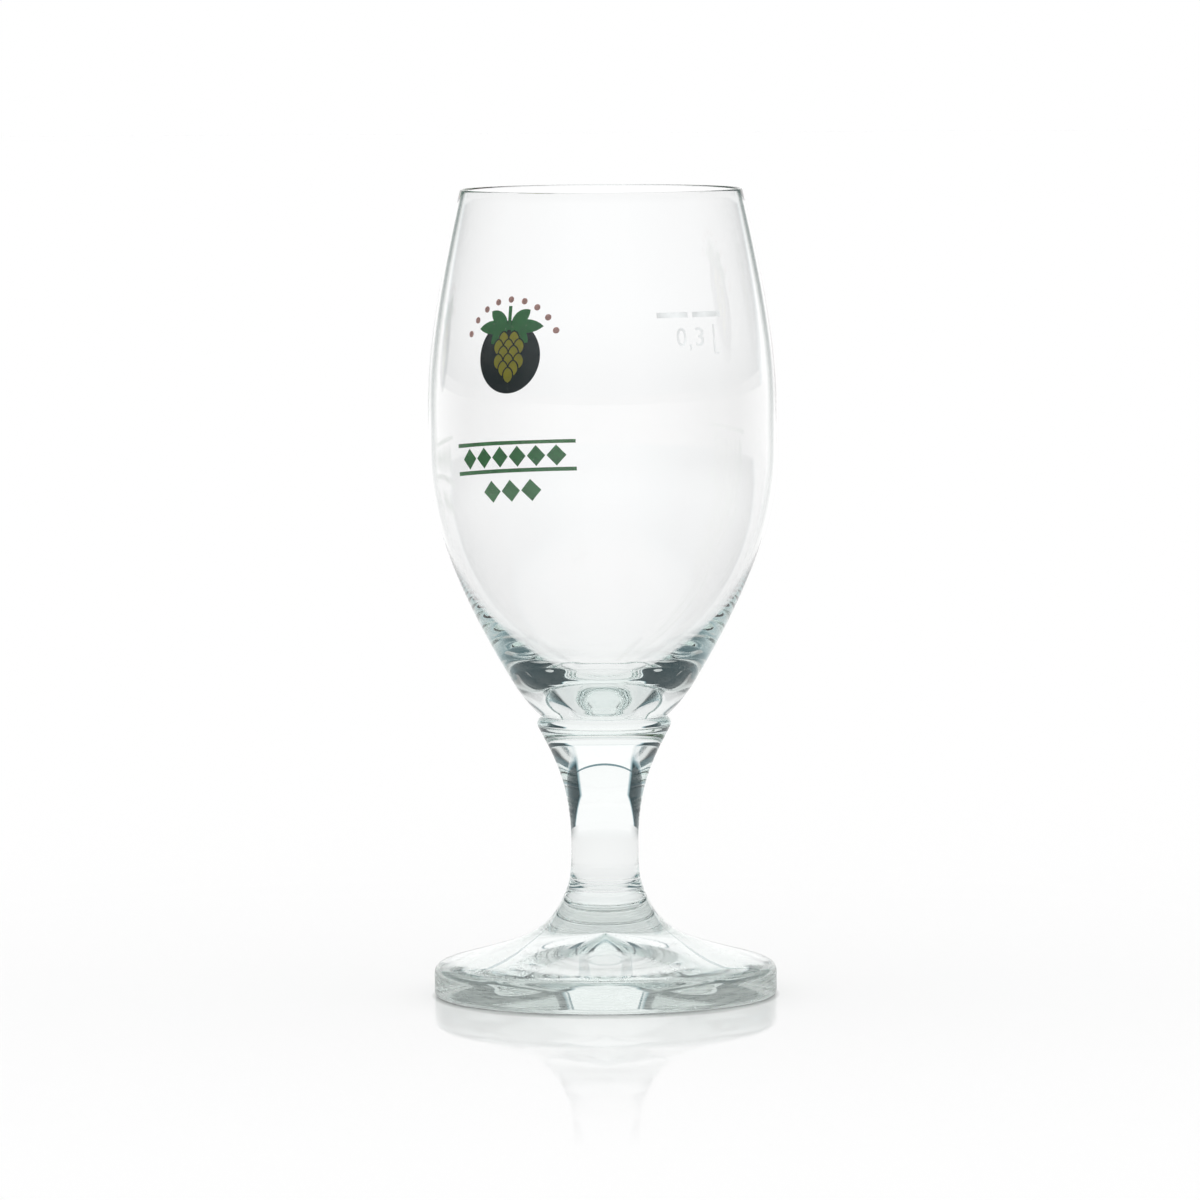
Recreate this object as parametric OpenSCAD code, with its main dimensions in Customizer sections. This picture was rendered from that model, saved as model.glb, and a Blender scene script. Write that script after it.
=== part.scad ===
/* [Overall] */
// Height from the table to the lip
glass_h = 182.5; // [160:0.5:230]
// Diameter over the lip
rim_d = 63.8; // [50:0.1:74]
// Diameter at the widest part of the bowl
belly_d = 78.5; // [74:0.5:96]
// Height of the widest part of the bowl
belly_h = 128; // [115:0.2:145]
// Diameter over the foot
foot_d = 77.5; // [70:0.5:96]

/* [Bowl] */
// Wall at the lip
rim_wall = 0.9; // [0.8:0.1:2]
// Wall at the widest part
belly_wall = 1.2; // [1:0.1:3]
// Height of the bowl's lowest point inside
floor_h = 66.5; // [65.8:0.1:68]
// Height where the inside of the bowl turns over into its floor
turn_h = 68.7; // [68.2:0.1:73]
// Diameter of the inside at that turn
turn_d = 16.6; // [10:0.1:22]
// How steeply the wall thickens from the belly down to that turn, as a power of the depth
wall_growth = 6.3; // [4:0.1:9]
// Height where the bowl's side turns into its heel
heel_h = 70.4; // [69:0.2:80]
// Diameter of the bowl at the heel
heel_d = 40.2; // [36:0.1:46]
// Height of the notch between bowl and stem
neck_h = 63.4; // [62:0.2:65]
// Diameter in the notch
neck_d = 27.9; // [25:0.1:28.4]
// Inward lean of the side at the lip, in degrees
rim_lean = 13.2; // [6:0.2:18]
// Lean of the side at the heel, in degrees
heel_lean = 31.3; // [26:0.1:38]
// Lean of the heel where it runs into the notch, in degrees
neck_lean = 66; // [50:1:75]

/* [Stem] */
// Diameter over the collar under the bowl
collar_d = 30.3; // [29.8:0.1:34]
// Radius of the collar's rounding
collar_round = 1.6; // [1.2:0.1:2]
// Lean of the stem's side below the collar, in degrees
collar_lean = 27; // [20:1:34]
// Diameter at the thinnest part of the stem
waist_d = 15.2; // [12:0.1:17]
// Height of the thinnest part of the stem
waist_h = 33.8; // [30:0.2:40]
// Depth of the dished seat that takes the bowl
bowl_seat_dish = 1.4; // [0.6:0.1:2]

/* [Foot] */
// Height of the seam between stem and foot
seam_h = 24.1; // [22:0.1:27]
// Diameter of stem and foot at their seam
seam_d = 17.5; // [16.8:0.1:20]
// Flare of the side at the seam, in degrees
seam_lean = 21; // [14:1:28]
// Depth of the dished seat that takes the stem
stem_seat_dish = 0.9; // [0.4:0.1:1.4]
// Height where the foot's slope turns over to its edge
shoulder_h = 8.6; // [7.4:0.2:10]
// Diameter of the foot at that shoulder
shoulder_d = 67.5; // [60:0.1:72]
// Fall of the foot's slope at the shoulder, in degrees
shoulder_fall = 15; // [8:1:20]
// Height of the upright edge band
edge_h = 4.9; // [3.6:0.1:6]
// Radius of the edge's lower rounding
edge_round = 1.2; // [0.6:0.1:1.8]
// Width of the flat ring that the glass stands on
rest_w = 1.8; // [1:0.1:3]
// Height of the hollow's crown under the foot
hollow_h = 10.3; // [4:0.1:12]
// Slope of the hollow where it leaves the resting ring, in degrees
hollow_slope = 20; // [14:1:26]

/* [Fill mark] */
// Height of the fill mark's middle
mark_h = 155.4; // [140:0.2:166]
// Height of the printed bars
mark_bar_h = 1.2; // [0.8:0.1:2]
// Length of the left bar round the bowl
mark_left_w = 7.5; // [5:0.1:10]
// Length of the right bar round the bowl
mark_right_w = 7.8; // [5:0.1:10]
// Gap between the bars
mark_gap = 1.3; // [0.8:0.1:3]
// Place of the mark round the bowl, in degrees from +X
mark_angle = -58.4; // [-90:0.1:-30]

/* [Print] */
// Thickness of the fired enamel
print_t = 0.08; // [0.05:0.01:0.2]
// Gap left between neighbouring patches of enamel
print_gap = 0.35; // [0.2:0.05:0.7]
// Place of the print round the bowl, in degrees from +X
print_angle = 124.5; // [90:0.1:150]
// Height of the medallion's middle
medallion_h = 142.8; // [138:0.2:147]
// Diameter of the medallion
medallion_d = 17; // [14:0.2:19]
// Length of the hop cone on the medallion
hop_l = 12; // [8:0.2:13]
// Width of the hop cone
hop_w = 8.4; // [6:0.2:10]
// Length of a hop leaf
leaf_l = 8.6; // [6:0.2:10]
// Width of a leaf's lobe
leaf_w = 3.2; // [2:0.1:4]
// Radius of the bead arch over the medallion
arch_r = 13.4; // [12.4:0.2:15]
// Diameter of a bead in the arch
bead_d = 1.5; // [1:0.1:1.8]
// Height of the middle of the ruled band
band_h = 120.2; // [116:0.2:124]
// Width of the ruled band
band_w = 33.5; // [22:0.5:36]
// Height of the ruled band
band_t = 7.3; // [5:0.1:8]
// Thickness of the band's rules
rule_t = 0.9; // [0.6:0.1:1.4]
// Width of a lozenge in the band
lozenge_w = 4.6; // [3:0.1:6]
// Height of the middle of the lower row of lozenges
row_h = 112.4; // [110:0.2:113]
// Width of a lozenge in the lower row
row_lozenge_w = 5.2; // [3:0.1:7]
// Height of a lozenge in the lower row
row_lozenge_h = 5; // [3:0.1:5.8]

/* [Hidden] */

// Steps along a long curve and along a short one, and of the curve that the wall is measured from
long_steps = 22;
short_steps = 8;
fine_steps = 90;

// How far each curve keeps its end directions, as a share of its own rise or run
rim_pull_share = 0.68;
belly_up_share = 0.16;
belly_down_share = 0.16;
heel_up_share = 0.68;
heel_down_share = 0.2;
neck_pull_share = 0.26;
turn_down_share = 0.9;
turn_in_share = 0.8;
collar_pull_share = 0.275;
waist_up_share = 0.533;
waist_down_share = 0.5;
seam_up_share = 0.3;
foot_fall_share = 0.68;
foot_run_share = 0.68;
shoulder_run_share = 0.72;
shoulder_drop_share = 0.64;
hollow_run_share = 0.35;
crown_run_share = 0.25;

rim_r = rim_d / 2;
belly_r = belly_d / 2;
turn_r = turn_d / 2;
heel_r = heel_d / 2;
neck_r = neck_d / 2;
waist_r = waist_d / 2;
seam_r = seam_d / 2;
foot_r = foot_d / 2;
shoulder_r = shoulder_d / 2;
lip_round = rim_wall / 2;
collar_c = [collar_d / 2 - collar_round, neck_h - collar_round];
// Where the collar's rounding meets the stem's side
collar_end = collar_c + collar_round * [cos(collar_lean), -sin(collar_lean)];
rest_in_r = foot_r - edge_round - rest_w;

// Direction that leans by an angle from straight up
function lean(a) = [sin(a), cos(a)];

// Cubic curve from p to q that leaves p along u and reaches q along v
function curve(p, u, v, q, steps) = [
    for (i = [0 : steps])
        let (t = i / steps, s = 1 - t)
        s * s * s * p + 3 * s * s * t * (p + u) + 3 * s * t * t * (q - v) + t * t * t * q
];

// Arc about a centre, between two angles
function arc(c, r, from, to, steps) = [
    for (i = [0 : steps])
        let (a = from + (to - from) * i / steps)
        c + r * [cos(a), sin(a)]
];

// A dished seat from the axis out to a radius, sunk by its dish in the middle
function seat(r, h, dish) =
    let (round_r = (r * r + dish * dish) / (2 * dish), half = asin(r / round_r))
    arc([0, h - dish + round_r], round_r, -90, -90 + half, short_steps);

function drop_first(list) = [for (i = [1 : len(list) - 1]) list[i]];
function reversed(list) = [for (i = [len(list) - 1 : -1 : 0]) list[i]];

// Side of the bowl between its lip and its belly, at a given wall depth from the outside
function upper_side(lip_depth, belly_depth) =
    let (rise = glass_h - lip_round - belly_h)
    curve([rim_r - lip_depth, glass_h - lip_round], -rim_pull_share * rise * lean(-rim_lean),
          [0, -belly_up_share * rise], [belly_r - belly_depth, belly_h], long_steps);

// Outside of the bowl from its belly to its heel and on into the notch
function lower_side(side_steps, heel_steps) = concat(
    curve([belly_r, belly_h], [0, -belly_down_share * (belly_h - heel_h)],
          -heel_up_share * (belly_h - heel_h) * lean(heel_lean), [heel_r, heel_h], side_steps),
    drop_first(curve([heel_r, heel_h], -heel_down_share * (heel_h - neck_h) * lean(heel_lean),
                     -neck_pull_share * (heel_h - neck_h) * lean(neck_lean),
                     [neck_r, neck_h], heel_steps))
);
outer_side = concat(upper_side(0, 0), drop_first(lower_side(long_steps, short_steps)));

// Inside of the bowl under its belly: the outside less a wall that thickens as a power of the depth
fine_table = [for (p = reversed(lower_side(fine_steps, fine_steps))) [p[1], p[0]]];
turn_wall = lookup(turn_h, fine_table) - turn_r;
function wall_at(h) =
    belly_wall + (turn_wall - belly_wall) * pow((belly_h - h) / (belly_h - turn_h), wall_growth);
under_belly = [
    for (i = [0 : long_steps])
        let (h = belly_h - (belly_h - turn_h) * sin(90 * i / long_steps))
        [lookup(h, fine_table) - wall_at(h), h]
];
// Direction in which that side reaches the turn
turn_run = under_belly[long_steps] - under_belly[long_steps - 1];

// Inside of the bowl from the lip, round the turn over the thick base, to the middle of the floor
inner_side = concat(
    upper_side(rim_wall, belly_wall),
    drop_first(under_belly),
    drop_first(curve([turn_r, turn_h], turn_down_share * (turn_h - floor_h) * turn_run / norm(turn_run),
                     [-turn_in_share * turn_r, 0], [0, floor_h], short_steps))
);

// Fire-polished lip, from the outside over the top to the inside
lip = arc([rim_r - lip_round, glass_h - lip_round], lip_round, 0, 180, short_steps);

// Outer radius of the bowl at a height
side_table = [for (p = reversed(outer_side)) [p[1], p[0]]];
function side_r(h) = lookup(h, side_table);

// Volume under a height inside the bowl, in millilitres, from frustums between the curve's points
inner_table = [for (p = reversed(inner_side)) [p[1], p[0]]];
function frustum(a, b, r, s) = PI * (b - a) * (r * r + r * s + s * s) / 3;
function fills(h, i = 0) =
    i >= len(inner_table) - 1 || inner_table[i][0] >= h ? 0 :
    let (top = min(h, inner_table[i + 1][0]))
    frustum(inner_table[i][0], top, inner_table[i][1], lookup(top, inner_table)) / 1000
        + fills(h, i + 1);
echo(str("holds ", round(fills(mark_h)), " ml to the mark, ", round(fills(glass_h)), " ml to the brim"));

// Blown bowl: thin lip, swelling belly and a thick base that bulges into the stem's seat
module bowl() {
    color("lightcyan", 0.4)
    rotate_extrude($fn = 160)
    polygon(concat(
        reversed(inner_side), drop_first(reversed(lip)), drop_first(outer_side),
        reversed(seat(neck_r, neck_h, bowl_seat_dish))
    ));
}

// Pressed stem: dished seat under the bowl, rounded collar, long taper and flared lower end
module stem() {
    color("powderblue", 0.5)
    rotate_extrude($fn = 120)
    polygon(concat(
        seat(neck_r, neck_h, bowl_seat_dish),
        arc(collar_c, collar_round, 90 - collar_lean, -collar_lean, short_steps),
        drop_first(curve(collar_end, -collar_pull_share * (collar_end[1] - waist_h) * lean(collar_lean),
                         [0, -waist_up_share * (collar_end[1] - waist_h)],
                         [waist_r, waist_h], long_steps)),
        drop_first(curve([waist_r, waist_h], [0, -waist_down_share * (waist_h - seam_h)],
                         -seam_up_share * (waist_h - seam_h) * lean(-seam_lean),
                         [seam_r, seam_h], short_steps)),
        drop_first(reversed(seat(seam_r, seam_h, stem_seat_dish)))
    ));
}

// Pressed foot: seat for the stem, flared slope, turned-over edge, resting ring and hollow underside
module foot() {
    fall = seam_h - shoulder_h;
    run = shoulder_r - seam_r;
    slope = [cos(shoulder_fall), -sin(shoulder_fall)];
    color("lightblue", 0.5)
    rotate_extrude($fn = 160)
    polygon(concat(
        seat(seam_r, seam_h, stem_seat_dish),
        drop_first(curve([seam_r, seam_h], -foot_fall_share * fall * lean(-seam_lean),
                         foot_run_share * run * slope, [shoulder_r, shoulder_h], long_steps)),
        drop_first(curve([shoulder_r, shoulder_h], shoulder_run_share * (foot_r - shoulder_r) * slope,
                         [0, -shoulder_drop_share * (shoulder_h - edge_h)],
                         [foot_r, edge_h], short_steps)),
        arc([foot_r - edge_round, edge_round], edge_round, 0, -90, short_steps),
        curve([rest_in_r, 0], hollow_run_share * rest_in_r * [-cos(hollow_slope), sin(hollow_slope)],
              [-crown_run_share * rest_in_r, 0], [0, hollow_h], long_steps)
    ));
}

// Thin skin on the outside of the bowl between two heights, cut along the bowl's own side
function skin(low, high) =
    let (hs = concat(high, [for (p = outer_side) if (p[1] > low && p[1] < high) p[1]], low))
    concat([for (h = hs) [side_r(h), h]], [for (h = reversed(hs)) [side_r(h) + print_t, h]]);

// Flat shapes laid against the bowl at a place round it, cut to the skin's thickness
module printed(angle, h, half_w, half_h) {
    spread = asin(half_w / side_r(h));
    intersection() {
        rotate([0, 0, angle - spread])
        rotate_extrude(angle = 2 * spread, $fn = 160)
        polygon(skin(h - half_h, h + half_h));
        rotate([0, 0, angle])
        translate([0, 0, h])
        rotate([90, 0, 90])
        linear_extrude(belly_d)
        children();
    }
}

// Pointed oval, standing on its lower tip, made of two arcs
module blade(l, w) {
    r = (l * l + w * w) / (4 * w);
    half = asin(l / 2 / r);
    polygon(concat(
        arc([w / 2 - r, l / 2], r, -half, half, short_steps),
        drop_first(arc([r - w / 2, l / 2], r, 180 - half, 180 + half, short_steps))
    ));
}

// Lozenge about its own middle
module lozenge(w, h) {
    polygon([[-w / 2, 0], [0, -h / 2], [w / 2, 0], [0, h / 2]]);
}

// Fill mark: two bars in line, each wrapped round the bowl
module fill_mark() {
    wrap = 360 / (2 * PI * side_r(mark_h));
    color("white")
    for (bar = [[-mark_gap / 2 - mark_left_w, mark_left_w], [mark_gap / 2, mark_right_w]])
        rotate([0, 0, mark_angle + bar[0] * wrap])
        rotate_extrude(angle = bar[1] * wrap, $fn = 160)
        polygon(skin(mark_h - mark_bar_h / 2, mark_h + mark_bar_h / 2));
}

// Rows of hop scales from the tip up: how many side by side, and each row's place as a share of the cone
hop_rows_share = [[1, 0], [2, 0.13], [3, 0.27], [2, 0.42], [3, 0.55], [2, 0.7]];
scale_l_share = 0.29;
scale_w_share = 0.3;

// One row of scales, grown by a margin for the gap that it leaves round itself
module hop_row(i, margin) {
    count = hop_rows_share[i][0];
    scale_w = hop_w * scale_w_share;
    for (k = [0 : count - 1])
        translate([(k - (count - 1) / 2) * (scale_w + print_gap),
                   hop_l * (hop_rows_share[i][1] - 0.5) - margin])
        blade(hop_l * scale_l_share + 2 * margin, scale_w + 2 * margin);
}

// Hop cone: rows of scales, each lapped by the row below it
module hop_cone() {
    for (i = [0 : len(hop_rows_share) - 1])
        difference() {
            hop_row(i, 0);
            if (i > 0)
                hop_row(i - 1, print_gap);
            if (i > 1)
                hop_row(i - 2, print_gap);
        }
}

// Arch of beads over the medallion, grown by a margin
module beads(margin) {
    for (turn = [-64 : 16 : 64])
        rotate(turn)
        translate([0, arch_r])
        circle(d = bead_d + 2 * margin, $fn = 8);
}

// Where the leaves spring from, as a share of the medallion's radius, and how short their side lobes are
leaf_root_share = 0.85;
side_lobe_share = 0.72;

// Leaf with three lobes
module hop_leaf() {
    for (turn = [-38, 0, 38])
        rotate(turn)
        blade(turn == 0 ? leaf_l : leaf_l * side_lobe_share, leaf_w);
}

// Two leaves and the stalk over the hop cone, clear of its scales and of the beads
module sprig() {
    root = leaf_root_share * medallion_d / 2;
    difference() {
        union() {
            for (side = [0, 1])
                mirror([side, 0])
                translate([rule_t / 2, root])
                rotate(-92)
                hop_leaf();
            translate([-rule_t / 2, root - rule_t])
            square([rule_t, arch_r - bead_d - root + rule_t]);
        }
        for (i = [0 : len(hop_rows_share) - 1])
            hop_row(i, print_gap);
        beads(print_gap);
    }
}

// Rules above and below the band, and the lozenges between them
module band() {
    clear_h = band_t - 2 * (rule_t + print_gap);
    pitch = lozenge_w + print_gap;
    count = floor(band_w / pitch);
    for (side = [-1, 1])
        translate([0, side * (band_t - rule_t) / 2])
        square([band_w, rule_t], center = true);
    for (i = [0 : count - 1])
        translate([(i - (count - 1) / 2) * pitch, 0])
        lozenge(lozenge_w, clear_h);
}

// Round medallion, with the hop cone and the sprig left out of it
module print_dark() {
    window = medallion_d / 2 + print_gap;
    color("darkslategray")
    printed(print_angle, medallion_h, window, window)
    difference() {
        circle(d = medallion_d, $fn = 64);
        hop_cone();
        sprig();
    }
}

// Sprig over the hop cone, and below it the ruled band with a row of three lozenges under it
module print_green() {
    row_pitch = row_lozenge_w + print_gap;
    color("seagreen") {
        printed(print_angle, medallion_h, arch_r, arch_r) sprig();
        printed(print_angle, band_h, band_w / 2, band_t / 2) band();
        printed(print_angle, row_h, 3 * row_pitch / 2, row_lozenge_h / 2)
        for (i = [-1, 0, 1])
            translate([i * row_pitch, 0])
            lozenge(row_lozenge_w, row_lozenge_h);
    }
}

// Scales of the hop cone
module print_gold() {
    color("goldenrod")
    printed(print_angle, medallion_h, hop_w, hop_l / 2) hop_cone();
}

// Beads of the arch
module print_russet() {
    color("brown")
    printed(print_angle, medallion_h, arch_r + bead_d, arch_r + bead_d) beads(0);
}

bowl();
stem();
foot();
fill_mark();
print_dark();
print_green();
print_gold();
print_russet();
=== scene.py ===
import math

import bpy
from mathutils import Matrix, Vector
from mathutils.geometry import delaunay_2d_cdt


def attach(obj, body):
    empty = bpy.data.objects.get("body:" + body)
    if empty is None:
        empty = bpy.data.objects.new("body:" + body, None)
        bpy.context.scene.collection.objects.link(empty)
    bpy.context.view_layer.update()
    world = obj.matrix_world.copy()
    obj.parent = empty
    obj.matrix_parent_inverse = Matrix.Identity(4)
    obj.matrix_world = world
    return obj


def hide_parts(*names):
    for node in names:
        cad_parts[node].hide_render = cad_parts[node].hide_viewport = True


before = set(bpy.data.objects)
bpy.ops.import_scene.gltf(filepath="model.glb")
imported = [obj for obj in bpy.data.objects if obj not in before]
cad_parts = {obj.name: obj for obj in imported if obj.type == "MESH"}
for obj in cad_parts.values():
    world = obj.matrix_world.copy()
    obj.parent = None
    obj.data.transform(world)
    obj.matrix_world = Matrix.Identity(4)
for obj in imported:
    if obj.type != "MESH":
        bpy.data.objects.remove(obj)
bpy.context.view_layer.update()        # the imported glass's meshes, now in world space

scene = bpy.context.scene
mm = 0.001
weld = 1e-6              # m, points nearer than this become one
print("frame loaded:", ", ".join(sorted(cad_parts)))


def srgb(code):        # "#rrggbb" to linear
    steps = [int(code[i:i + 2], 16) / 255 for i in (1, 3, 5)]
    return tuple(s / 12.92 if s <= 0.04045 else ((s + 0.055) / 1.055) ** 2.4 for s in steps) + (1.0,)


def addNode(tree, kind, inputs=None, **settings):
    node = tree.nodes.new(kind)
    for name, value in settings.items():
        setattr(node, name, value)
    for name, value in (inputs or {}).items():
        if isinstance(value, bpy.types.NodeSocket):
            tree.links.new(value, node.inputs[name])
        else:
            node.inputs[name].default_value = value
    return node


# camera, fitted to the photograph's rim, belly and foot
photoCamera = {
    "distance": 2005.3,    # mm from the glass's axis
    "height": 243.9,       # mm above the table
    "pitch": 4.40,         # degrees down
    "roll": -0.35,         # degrees, the glass leans a little to the left
    "focalPixels": 8902,
    "framePixels": 1200,
    "axisPixel": 603.4,    # where the axis crosses the middle row
    "sensor": 36,          # mm
    "reach": 30,           # m that it sees
}


def makeCamera(c):
    data = bpy.data.cameras.new("photoCamera")
    data.sensor_width = c["sensor"]
    data.lens = c["sensor"] * c["focalPixels"] / c["framePixels"]
    data.shift_x = (c["framePixels"] / 2 - c["axisPixel"]) / c["framePixels"]
    data.clip_end = c["reach"]
    camera = bpy.data.objects.new("photoCamera", data)
    scene.collection.objects.link(camera)
    tilt = Matrix.Rotation(math.radians(90 - c["pitch"]), 4, "X")
    roll = Matrix.Rotation(math.radians(c["roll"]), 4, "Z")
    camera.matrix_world = Matrix.Translation((0, -c["distance"] * mm, c["height"] * mm)) @ tilt @ roll
    scene.camera = camera


makeCamera(photoCamera)
print("camera placed")

# outline of the glass, in mm and degrees; the same sizes as the frame's solids. A lean is a side's angle from
# upright, and a pull is the share of its height or width over which a curve keeps its first direction.
glass = {
    "height": 182.5, "rim": 63.8, "rimWall": 0.9, "rimLean": 13.2, "rimPull": 0.68,
    "belly": 78.5, "bellyHeight": 128, "bellyWall": 1.2, "bellyPull": 0.16,
    "heel": 40.2, "heelHeight": 70.4, "heelLean": 31.3, "sidePull": 0.68, "heelPull": 0.2,
    "neck": 27.9, "neckHeight": 63.4, "neckLean": 66, "neckPull": 0.26,
    "floorHeight": 66.5, "turn": 16.6, "turnHeight": 68.7, "wallGrowth": 6.3, "turnDown": 0.9, "turnIn": 0.8,
    "collar": 30.3, "collarRound": 1.6, "collarLean": 27, "collarPull": 0.275,
    "waist": 15.2, "waistHeight": 33.8, "waistPullUp": 0.533, "waistPullDown": 0.5,
    "seam": 17.5, "seamHeight": 24.1, "seamLean": 21, "seamPullUp": 0.3, "seamPullDown": 0.68,
    "seamGroove": 0.12,    # the seam shows as a fine groove, and the foot stands out a little under it
    "seamLedge": 0.3,      # as a share of the groove
    "shoulder": 67.5, "shoulderHeight": 8.6, "shoulderFall": 15,
    "shoulderPullIn": 0.68, "shoulderPullOut": 0.72,
    "foot": 77.5, "edgeHeight": 4.9, "edgePull": 0.64, "edgeRound": 1.2, "restWidth": 1.8,
    "hollowHeight": 9.3, "hollowSlope": 12, "hollowPull": 0.35,
    "crownSlope": 22, "crownPull": 0.25,        # the plunger left a blunt point in the middle of the hollow
    "around": 200,         # faces round the axis, and along each stretch of the outline
    "along": {"insideTop": 36, "insideWall": 80, "turn": 40, "lip": 12, "outsideTop": 40, "side": 60,
              "heel": 20, "collar": 12, "stem": 50, "flare": 18, "slope": 50, "shoulder": 16, "edge": 8,
              "hollow": 50},
}


def leaning(degrees):
    return Vector((math.sin(math.radians(degrees)), math.cos(math.radians(degrees))))


def curve(p, u, v, q, steps):        # leaves p along u and reaches q along v
    p, u, v, q = Vector(p), Vector(u), Vector(v), Vector(q)
    points = []
    for i in range(steps + 1):
        t = i / steps
        s = 1 - t
        points.append(s**3 * p + 3 * s * s * t * (p + u) + 3 * s * t * t * (q - v) + t**3 * q)
    return points


def arc(centre, radius, start, end, steps):
    turns = [math.radians(start + (end - start) * i / steps) for i in range(steps + 1)]
    return [Vector(centre) + radius * Vector((math.cos(a), math.sin(a))) for a in turns]


def upperSide(g, lipDepth, bellyDepth, steps):        # from the lip to the belly, set in by two depths
    lip = g["height"] - g["rimWall"] / 2
    rise = lip - g["bellyHeight"]
    return curve((g["rim"] / 2 - lipDepth, lip), -g["rimPull"] * rise * leaning(-g["rimLean"]),
                 (0, -g["bellyPull"] * rise), (g["belly"] / 2 - bellyDepth, g["bellyHeight"]), steps)


def outerBowl(g):
    belly = (g["belly"] / 2, g["bellyHeight"])
    heel = (g["heel"] / 2, g["heelHeight"])
    neck = (g["neck"] / 2, g["neckHeight"])
    drop = g["bellyHeight"] - g["heelHeight"]
    heelDrop = g["heelHeight"] - g["neckHeight"]
    side = upperSide(g, 0, 0, g["along"]["outsideTop"])
    side += curve(belly, (0, -g["bellyPull"] * drop), -g["sidePull"] * drop * leaning(g["heelLean"]),
                  heel, g["along"]["side"])[1:]
    side += curve(heel, -g["heelPull"] * heelDrop * leaning(g["heelLean"]),
                  -g["neckPull"] * heelDrop * leaning(g["neckLean"]), neck, g["along"]["heel"])[1:]
    return side


def radiusAt(side, height):
    for upper, lower in zip(side, side[1:]):
        if lower.y <= height < upper.y:
            return lower.x + (upper.x - lower.x) * (height - lower.y) / (upper.y - lower.y)
    return side[0].x


def innerBowl(g):        # the wall thickens towards the base as a power of the depth
    outer = outerBowl(g)
    depth = g["bellyHeight"] - g["turnHeight"]
    turnWall = radiusAt(outer, g["turnHeight"]) - g["turn"] / 2
    steps = g["along"]["insideWall"]
    side = []
    for i in range(steps + 1):
        share = math.sin(math.pi / 2 * i / steps)
        height = g["bellyHeight"] - depth * share
        wall = g["bellyWall"] + (turnWall - g["bellyWall"]) * share ** g["wallGrowth"]
        side.append(Vector((radiusAt(outer, height) - wall, height)))
    run = (side[-1] - side[-4]).normalized()
    turn = curve(side[-1], g["turnDown"] * (g["turnHeight"] - g["floorHeight"]) * run,
                 (-g["turnIn"] * g["turn"] / 2, 0), (0, g["floorHeight"]), g["along"]["turn"])
    top = upperSide(g, g["rimWall"], g["bellyWall"], g["along"]["insideTop"])
    return top + side[1:] + turn[1:]


def stemSide(g):        # collar, stem and its flared lower end, down to the seam
    bend = g["collarRound"]
    waist = (g["waist"] / 2, g["waistHeight"])
    seam = (g["seam"] / 2, g["seamHeight"])
    side = arc((g["collar"] / 2 - bend, g["neckHeight"] - bend), bend,
               90 - g["collarLean"], -g["collarLean"], g["along"]["collar"])
    fall = side[-1].y - g["waistHeight"]
    side += curve(side[-1], -g["collarPull"] * fall * leaning(g["collarLean"]), (0, -g["waistPullUp"] * fall),
                  waist, g["along"]["stem"])[1:]
    fall = g["waistHeight"] - g["seamHeight"]
    side += curve(waist, (0, -g["waistPullDown"] * fall), -g["seamPullUp"] * fall * leaning(-g["seamLean"]),
                  seam, g["along"]["flare"])[1:-1]
    return side


def footSide(g):        # seam, slope, shoulder, edge, resting ring and hollow
    groove = g["seamGroove"]
    seam = Vector((g["seam"] / 2, g["seamHeight"]))
    side = [seam + groove * Vector(step) for step in ((0, 1), (-1, 0), (g["seamLedge"], -1))]
    shoulder = (g["shoulder"] / 2, g["shoulderHeight"])
    edge = (g["foot"] / 2, g["edgeHeight"])
    slope = leaning(90 + g["shoulderFall"])
    side += curve(seam, -g["seamPullDown"] * (seam.y - g["shoulderHeight"]) * leaning(-g["seamLean"]),
                  g["shoulderPullIn"] * (g["shoulder"] / 2 - seam.x) * slope, shoulder,
                  g["along"]["slope"])[2:]
    side += curve(shoulder, g["shoulderPullOut"] * (g["foot"] - g["shoulder"]) / 2 * slope,
                  (0, -g["edgePull"] * (g["shoulderHeight"] - g["edgeHeight"])), edge,
                  g["along"]["shoulder"])[1:]
    bend = g["edgeRound"]
    side += arc((g["foot"] / 2 - bend, bend), bend, 0, -90, g["along"]["edge"])
    rest = g["foot"] / 2 - bend - g["restWidth"]
    side += curve((rest, 0), g["hollowPull"] * rest * leaning(g["hollowSlope"] - 90),
                  g["crownPull"] * rest * leaning(g["crownSlope"] - 90), (0, g["hollowHeight"]),
                  g["along"]["hollow"])
    return side


def glassOutline(g):        # from the middle of the bowl's floor over the lip to the middle of the hollow
    bend = g["rimWall"] / 2
    lip = arc((g["rim"] / 2 - bend, g["height"] - bend), bend, 180, 0, g["along"]["lip"])
    return innerBowl(g)[::-1] + lip[1:-1] + outerBowl(g) + stemSide(g) + footSide(g)


def grown(name, verts, edges, faces, tree, values):        # runs a tree on a mesh and keeps the plain result
    mesh = bpy.data.meshes.new(name)
    mesh.from_pydata(verts, edges, faces)
    source = bpy.data.objects.new(name, mesh)
    scene.collection.objects.link(source)
    modifier = source.modifiers.new(name, "NODES")
    modifier.node_group = tree
    for item in tree.interface.items_tree:
        if item.in_out == "INPUT" and item.name in values:
            modifier[item.identifier] = values[item.name]
    graph = bpy.context.evaluated_depsgraph_get()
    result = bpy.data.meshes.new_from_object(source.evaluated_get(graph), depsgraph=graph)
    bpy.data.objects.remove(source)
    result.name = name
    piece = bpy.data.objects.new(name, result)
    scene.collection.objects.link(piece)
    return piece


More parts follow.
